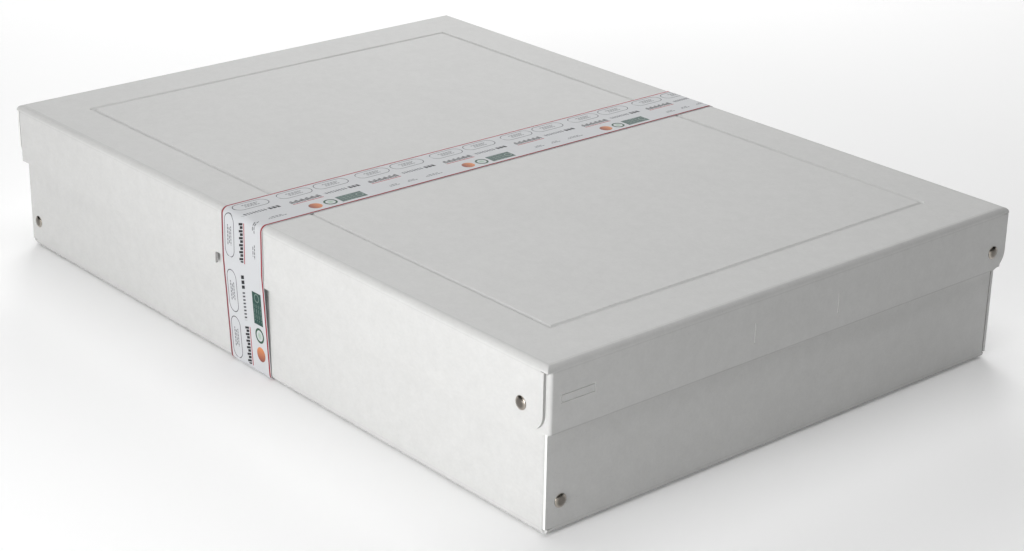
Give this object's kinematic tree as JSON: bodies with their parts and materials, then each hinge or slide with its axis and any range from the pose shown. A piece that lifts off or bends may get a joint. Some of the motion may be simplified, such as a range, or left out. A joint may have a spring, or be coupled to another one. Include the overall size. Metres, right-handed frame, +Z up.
{
  "type": "archival box",
  "caption": "Shallow flat storage box of folded, riveted grey board with a lift-off lid, held shut by a printed paper band that slides off.",
  "frame": {"origin": "centre of the box on the surface that it stands on, under the band's lower layer", "axes": "+X along the long side, towards the end with the label marks; +Y towards the back long side; +Z up, the way the lid lifts"},
  "size_m": [0.4684, 0.3244, 0.0865],
  "materials": {
    "box_board": "matt, fine fibre lines, white cut edges",
    "rivet_nickel": "polished nickel plate",
    "band_paper": "smooth uncoated white, printed",
    "glue_film": "clear dried glue"
  },
  "bodies": {
    "tray": {"tray": "box_board", "tray_rivet_front_left_head": "rivet_nickel", "tray_rivet_front_left_cap": "rivet_nickel", "tray_rivet_front_right_head": "rivet_nickel", "tray_rivet_front_right_cap": "rivet_nickel", "tray_rivet_back_left_head": "rivet_nickel", "tray_rivet_back_left_cap": "rivet_nickel", "tray_rivet_back_right_head": "rivet_nickel", "tray_rivet_back_right_cap": "rivet_nickel"},
    "lid": {"lid": "box_board", "lid_rivet_front_left_head": "rivet_nickel", "lid_rivet_front_left_cap": "rivet_nickel", "lid_rivet_front_right_head": "rivet_nickel", "lid_rivet_front_right_cap": "rivet_nickel", "lid_rivet_back_left_head": "rivet_nickel", "lid_rivet_back_left_cap": "rivet_nickel", "lid_rivet_back_right_head": "rivet_nickel", "lid_rivet_back_right_cap": "rivet_nickel"},
    "band": {"paper_band": "band_paper", "band_glue": "glue_film"}
  },
  "joints": [
    {"name": "lid_lift", "type": "slide", "parent": "tray", "child": "lid", "axis": [0, 0, 1], "range_m": [0, 0.07]},
    {"name": "band_slide", "type": "slide", "parent": "tray", "child": "band", "axis": [1, 0, 0], "range_m": [-0.26, 0.26], "deforming": ["paper_band"]}
  ]
}
